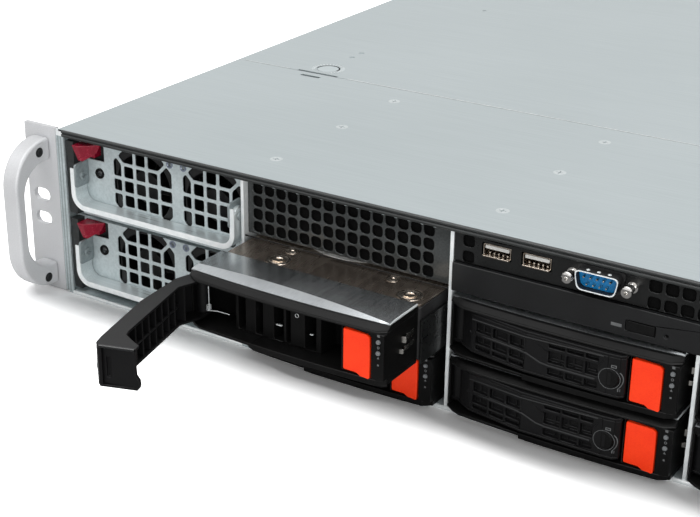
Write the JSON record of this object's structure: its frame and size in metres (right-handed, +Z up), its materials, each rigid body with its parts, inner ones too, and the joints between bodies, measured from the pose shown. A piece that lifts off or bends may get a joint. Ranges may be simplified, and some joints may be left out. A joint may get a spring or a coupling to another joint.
{
  "type": "rack server",
  "caption": "Low rack server with hot-swap drive carriers, stacked front power supplies, rack ears with handles and a lift-off lid.",
  "frame": {"origin": "middle of the underside of the chassis, halfway between its front and rear faces", "axes": "+X to the right seen from the front, +Y from the front to the rear, +Z up"},
  "size_m": [0.4826, 0.8398, 0.088],
  "materials": {
    "zinc_steel": "galvanised sheet, satin",
    "cover_steel": "galvanised sheet, satin",
    "satin_aluminium": "bead-blasted and clear anodised",
    "screw_steel": "nickel plated",
    "black_steel": "black powder coat",
    "black_plastic": "moulded, fine texture",
    "lever_plastic": "moulded, fine texture",
    "orange_plastic": "moulded, satin",
    "crimson_plastic": "moulded, satin",
    "port_metal": "nickel-plated shells with a blue insert",
    "fan_plastic": "moulded",
    "board_laminate": "solder-masked laminate",
    "fin_aluminium": "bare extruded fins",
    "lock_plastic": "moulded"
  },
  "bodies": {
    "chassis": {"chassis_pan": "zinc_steel", "drive_cage": "zinc_steel", "front_cover": "cover_steel", "front_lip": "black_steel", "rack_ears": "satin_aluminium", "ear_handles": "satin_aluminium", "screws": "screw_steel", "vent_panel": "black_steel", "io_panel": "black_steel", "front_ports": "port_metal", "optical_drive": "zinc_steel", "control_panel": "black_steel", "drive_backplane": "board_laminate", "fan_wall": "zinc_steel", "motherboard": "board_laminate", "heatsinks": "fin_aluminium", "rear_panel": "zinc_steel"},
    "top_lid": {"top_lid": "cover_steel"},
    "lid_tab_left": {"lid_tab_left": "cover_steel"},
    "lid_tab_right": {"lid_tab_right": "cover_steel"},
    "optical_tray": {"optical_tray": "black_plastic"},
    "eject_button": {"eject_button": "black_plastic"},
    "power_button": {"power_button": "black_plastic"},
    "fan_rotor_1": {"fan_rotor_1": "fan_plastic"},
    "fan_rotor_2": {"fan_rotor_2": "fan_plastic"},
    "fan_rotor_3": {"fan_rotor_3": "fan_plastic"},
    "supply_lower": {"supply_lower": "zinc_steel"},
    "supply_handle_lower": {"supply_handle_lower": "zinc_steel"},
    "supply_latch_lower": {"supply_latch_lower": "crimson_plastic"},
    "supply_rotor_lower_left": {"supply_rotor_lower_left": "fan_plastic"},
    "supply_rotor_lower_right": {"supply_rotor_lower_right": "fan_plastic"},
    "supply_upper": {"supply_upper": "zinc_steel"},
    "supply_handle_upper": {"supply_handle_upper": "zinc_steel"},
    "supply_latch_upper": {"supply_latch_upper": "crimson_plastic"},
    "supply_rotor_upper_left": {"supply_rotor_upper_left": "fan_plastic"},
    "supply_rotor_upper_right": {"supply_rotor_upper_right": "fan_plastic"},
    "carrier_middle_lower": {"carrier_middle_lower": "black_plastic"},
    "lever_middle_lower": {"lever_middle_lower": "lever_plastic"},
    "lock_middle_lower": {"lock_middle_lower": "lock_plastic"},
    "button_middle_lower": {"button_middle_lower": "orange_plastic"},
    "carrier_middle_upper": {"carrier_middle_upper": "black_plastic"},
    "lever_middle_upper": {"lever_middle_upper": "lever_plastic"},
    "lock_middle_upper": {"lock_middle_upper": "lock_plastic"},
    "button_middle_upper": {"button_middle_upper": "orange_plastic"},
    "carrier_port_lower": {"carrier_port_lower": "black_plastic"},
    "lever_port_lower": {"lever_port_lower": "lever_plastic"},
    "lock_port_lower": {"lock_port_lower": "lock_plastic"},
    "button_port_lower": {"button_port_lower": "orange_plastic"},
    "carrier_port_upper": {"carrier_port_upper": "black_plastic"},
    "lever_port_upper": {"lever_port_upper": "lever_plastic"},
    "lock_port_upper": {"lock_port_upper": "lock_plastic"},
    "button_port_upper": {"button_port_upper": "orange_plastic"},
    "carrier_right_lower": {"carrier_right_lower": "black_plastic"},
    "lever_right_lower": {"lever_right_lower": "lever_plastic"},
    "lock_right_lower": {"lock_right_lower": "lock_plastic"},
    "button_right_lower": {"button_right_lower": "orange_plastic"},
    "carrier_right_upper": {"carrier_right_upper": "black_plastic"},
    "lever_right_upper": {"lever_right_upper": "lever_plastic"},
    "lock_right_upper": {"lock_right_upper": "lock_plastic"},
    "button_right_upper": {"button_right_upper": "orange_plastic"}
  },
  "joints": [
    {"name": "lid_lift", "type": "slide", "parent": "chassis", "child": "top_lid", "axis": [0, 0, 1], "range_m": [0, 0.1]},
    {"name": "lid_tab_left_press", "type": "slide", "parent": "top_lid", "child": "lid_tab_left", "axis": [0, 0, -1], "range_m": [0, 0.0012], "stiffness_N_per_m": 600},
    {"name": "lid_tab_right_press", "type": "slide", "parent": "top_lid", "child": "lid_tab_right", "axis": [0, 0, -1], "range_m": [0, 0.0012], "stiffness_N_per_m": 600},
    {"name": "optical_tray_slide", "type": "slide", "parent": "chassis", "child": "optical_tray", "axis": [0, -1, 0], "range_m": [0, 0.12]},
    {"name": "eject_press", "type": "slide", "parent": "optical_tray", "child": "eject_button", "axis": [0, 1, 0], "range_m": [0, 0.001], "stiffness_N_per_m": 600},
    {"name": "power_press", "type": "slide", "parent": "chassis", "child": "power_button", "axis": [0, 1, 0], "range_m": [0, 0.0012], "stiffness_N_per_m": 600},
    {"name": "fan_rotor_1_spin", "type": "hinge", "parent": "chassis", "child": "fan_rotor_1", "pos_m": [-0.04245, -0.1365, 0.0422], "axis": [0, 1, 0], "continuous": true},
    {"name": "fan_rotor_2_spin", "type": "hinge", "parent": "chassis", "child": "fan_rotor_2", "pos_m": [0.05555, -0.1365, 0.0422], "axis": [0, 1, 0], "continuous": true},
    {"name": "fan_rotor_3_spin", "type": "hinge", "parent": "chassis", "child": "fan_rotor_3", "pos_m": [0.15355, -0.1365, 0.0422], "axis": [0, 1, 0], "continuous": true},
    {"name": "supply_lower_slide", "type": "slide", "parent": "chassis", "child": "supply_lower", "axis": [0, -1, 0], "range_m": [0, 0.27]},
    {"name": "supply_handle_lower_swing", "type": "hinge", "parent": "supply_lower", "child": "supply_handle_lower", "pos_m": [-0.16, -0.3613, 0.0258], "axis": [-1, 0, 0], "range_deg": [0, 90]},
    {"name": "supply_latch_lower_press", "type": "slide", "parent": "supply_lower", "child": "supply_latch_lower", "axis": [1, 0, 0], "range_m": [0, 0.004], "stiffness_N_per_m": 400},
    {"name": "supply_rotor_lower_left_spin", "type": "hinge", "parent": "supply_lower", "child": "supply_rotor_lower_left", "pos_m": [-0.1703, -0.3417, 0.0243], "axis": [0, 1, 0], "continuous": true},
    {"name": "supply_rotor_lower_right_spin", "type": "hinge", "parent": "supply_lower", "child": "supply_rotor_lower_right", "pos_m": [-0.1275, -0.3417, 0.0243], "axis": [0, 1, 0], "continuous": true},
    {"name": "supply_upper_slide", "type": "slide", "parent": "chassis", "child": "supply_upper", "axis": [0, -1, 0], "range_m": [0, 0.27]},
    {"name": "supply_handle_upper_swing", "type": "hinge", "parent": "supply_upper", "child": "supply_handle_upper", "pos_m": [-0.16, -0.3613, 0.0666], "axis": [-1, 0, 0], "range_deg": [0, 90]},
    {"name": "supply_latch_upper_press", "type": "slide", "parent": "supply_upper", "child": "supply_latch_upper", "axis": [1, 0, 0], "range_m": [0, 0.004], "stiffness_N_per_m": 400},
    {"name": "supply_rotor_upper_left_spin", "type": "hinge", "parent": "supply_upper", "child": "supply_rotor_upper_left", "pos_m": [-0.1703, -0.3417, 0.0651], "axis": [0, 1, 0], "continuous": true},
    {"name": "supply_rotor_upper_right_spin", "type": "hinge", "parent": "supply_upper", "child": "supply_rotor_upper_right", "pos_m": [-0.1275, -0.3417, 0.0651], "axis": [0, 1, 0], "continuous": true},
    {"name": "carrier_middle_lower_slide", "type": "slide", "parent": "chassis", "child": "carrier_middle_lower", "axis": [0, -1, 0], "range_m": [0, 0.2]},
    {"name": "lever_middle_lower_swing", "type": "hinge", "parent": "carrier_middle_lower", "child": "lever_middle_lower", "pos_m": [-0.102, -0.3585, 0.0156], "axis": [0, 0, -1], "range_deg": [0, 77]},
    {"name": "lock_middle_lower_turn", "type": "hinge", "parent": "lever_middle_lower", "child": "lock_middle_lower", "pos_m": [-0.03, -0.3715, 0.0146], "axis": [0, -1, 0], "range_deg": [0, 90]},
    {"name": "button_middle_lower_press", "type": "slide", "parent": "carrier_middle_lower", "child": "button_middle_lower", "axis": [0, 1, 0], "range_m": [0, 0.002], "stiffness_N_per_m": 800},
    {"name": "carrier_middle_upper_slide", "type": "slide", "parent": "chassis", "child": "carrier_middle_upper", "axis": [0, -1, 0], "range_m": [-0.04, 0.16]},
    {"name": "lever_middle_upper_swing", "type": "hinge", "parent": "carrier_middle_upper", "child": "lever_middle_upper", "pos_m": [-0.102, -0.3985, 0.0436], "axis": [0, 0, -1], "range_deg": [-76.5, 0.5]},
    {"name": "lock_middle_upper_turn", "type": "hinge", "parent": "lever_middle_upper", "child": "lock_middle_upper", "pos_m": [-0.09783, -0.47154, 0.0426], "axis": [-0.9724, -0.2334, 0], "range_deg": [0, 90]},
    {"name": "button_middle_upper_press", "type": "slide", "parent": "carrier_middle_upper", "child": "button_middle_upper", "axis": [0, 1, 0], "range_m": [0, 0.002], "stiffness_N_per_m": 800},
    {"name": "carrier_port_lower_slide", "type": "slide", "parent": "chassis", "child": "carrier_port_lower", "axis": [0, -1, 0], "range_m": [0, 0.2]},
    {"name": "lever_port_lower_swing", "type": "hinge", "parent": "carrier_port_lower", "child": "lever_port_lower", "pos_m": [0.0062, -0.3585, 0.0156], "axis": [0, 0, -1], "range_deg": [0, 77]},
    {"name": "lock_port_lower_turn", "type": "hinge", "parent": "lever_port_lower", "child": "lock_port_lower", "pos_m": [0.0782, -0.3715, 0.0146], "axis": [0, -1, 0], "range_deg": [0, 90]},
    {"name": "button_port_lower_press", "type": "slide", "parent": "carrier_port_lower", "child": "button_port_lower", "axis": [0, 1, 0], "range_m": [0, 0.002], "stiffness_N_per_m": 800},
    {"name": "carrier_port_upper_slide", "type": "slide", "parent": "chassis", "child": "carrier_port_upper", "axis": [0, -1, 0], "range_m": [0, 0.2]},
    {"name": "lever_port_upper_swing", "type": "hinge", "parent": "carrier_port_upper", "child": "lever_port_upper", "pos_m": [0.0062, -0.3585, 0.0436], "axis": [0, 0, -1], "range_deg": [0, 77]},
    {"name": "lock_port_upper_turn", "type": "hinge", "parent": "lever_port_upper", "child": "lock_port_upper", "pos_m": [0.0782, -0.3715, 0.0426], "axis": [0, -1, 0], "range_deg": [0, 90]},
    {"name": "button_port_upper_press", "type": "slide", "parent": "carrier_port_upper", "child": "button_port_upper", "axis": [0, 1, 0], "range_m": [0, 0.002], "stiffness_N_per_m": 800},
    {"name": "carrier_right_lower_slide", "type": "slide", "parent": "chassis", "child": "carrier_right_lower", "axis": [0, -1, 0], "range_m": [0, 0.2]},
    {"name": "lever_right_lower_swing", "type": "hinge", "parent": "carrier_right_lower", "child": "lever_right_lower", "pos_m": [0.1144, -0.3585, 0.0156], "axis": [0, 0, -1], "range_deg": [0, 77]},
    {"name": "lock_right_lower_turn", "type": "hinge", "parent": "lever_right_lower", "child": "lock_right_lower", "pos_m": [0.1864, -0.3715, 0.0146], "axis": [0, -1, 0], "range_deg": [0, 90]},
    {"name": "button_right_lower_press", "type": "slide", "parent": "carrier_right_lower", "child": "button_right_lower", "axis": [0, 1, 0], "range_m": [0, 0.002], "stiffness_N_per_m": 800},
    {"name": "carrier_right_upper_slide", "type": "slide", "parent": "chassis", "child": "carrier_right_upper", "axis": [0, -1, 0], "range_m": [0, 0.2]},
    {"name": "lever_right_upper_swing", "type": "hinge", "parent": "carrier_right_upper", "child": "lever_right_upper", "pos_m": [0.1144, -0.3585, 0.0436], "axis": [0, 0, -1], "range_deg": [0, 77]},
    {"name": "lock_right_upper_turn", "type": "hinge", "parent": "lever_right_upper", "child": "lock_right_upper", "pos_m": [0.1864, -0.3715, 0.0426], "axis": [0, -1, 0], "range_deg": [0, 90]},
    {"name": "button_right_upper_press", "type": "slide", "parent": "carrier_right_upper", "child": "button_right_upper", "axis": [0, 1, 0], "range_m": [0, 0.002], "stiffness_N_per_m": 800}
  ]
}
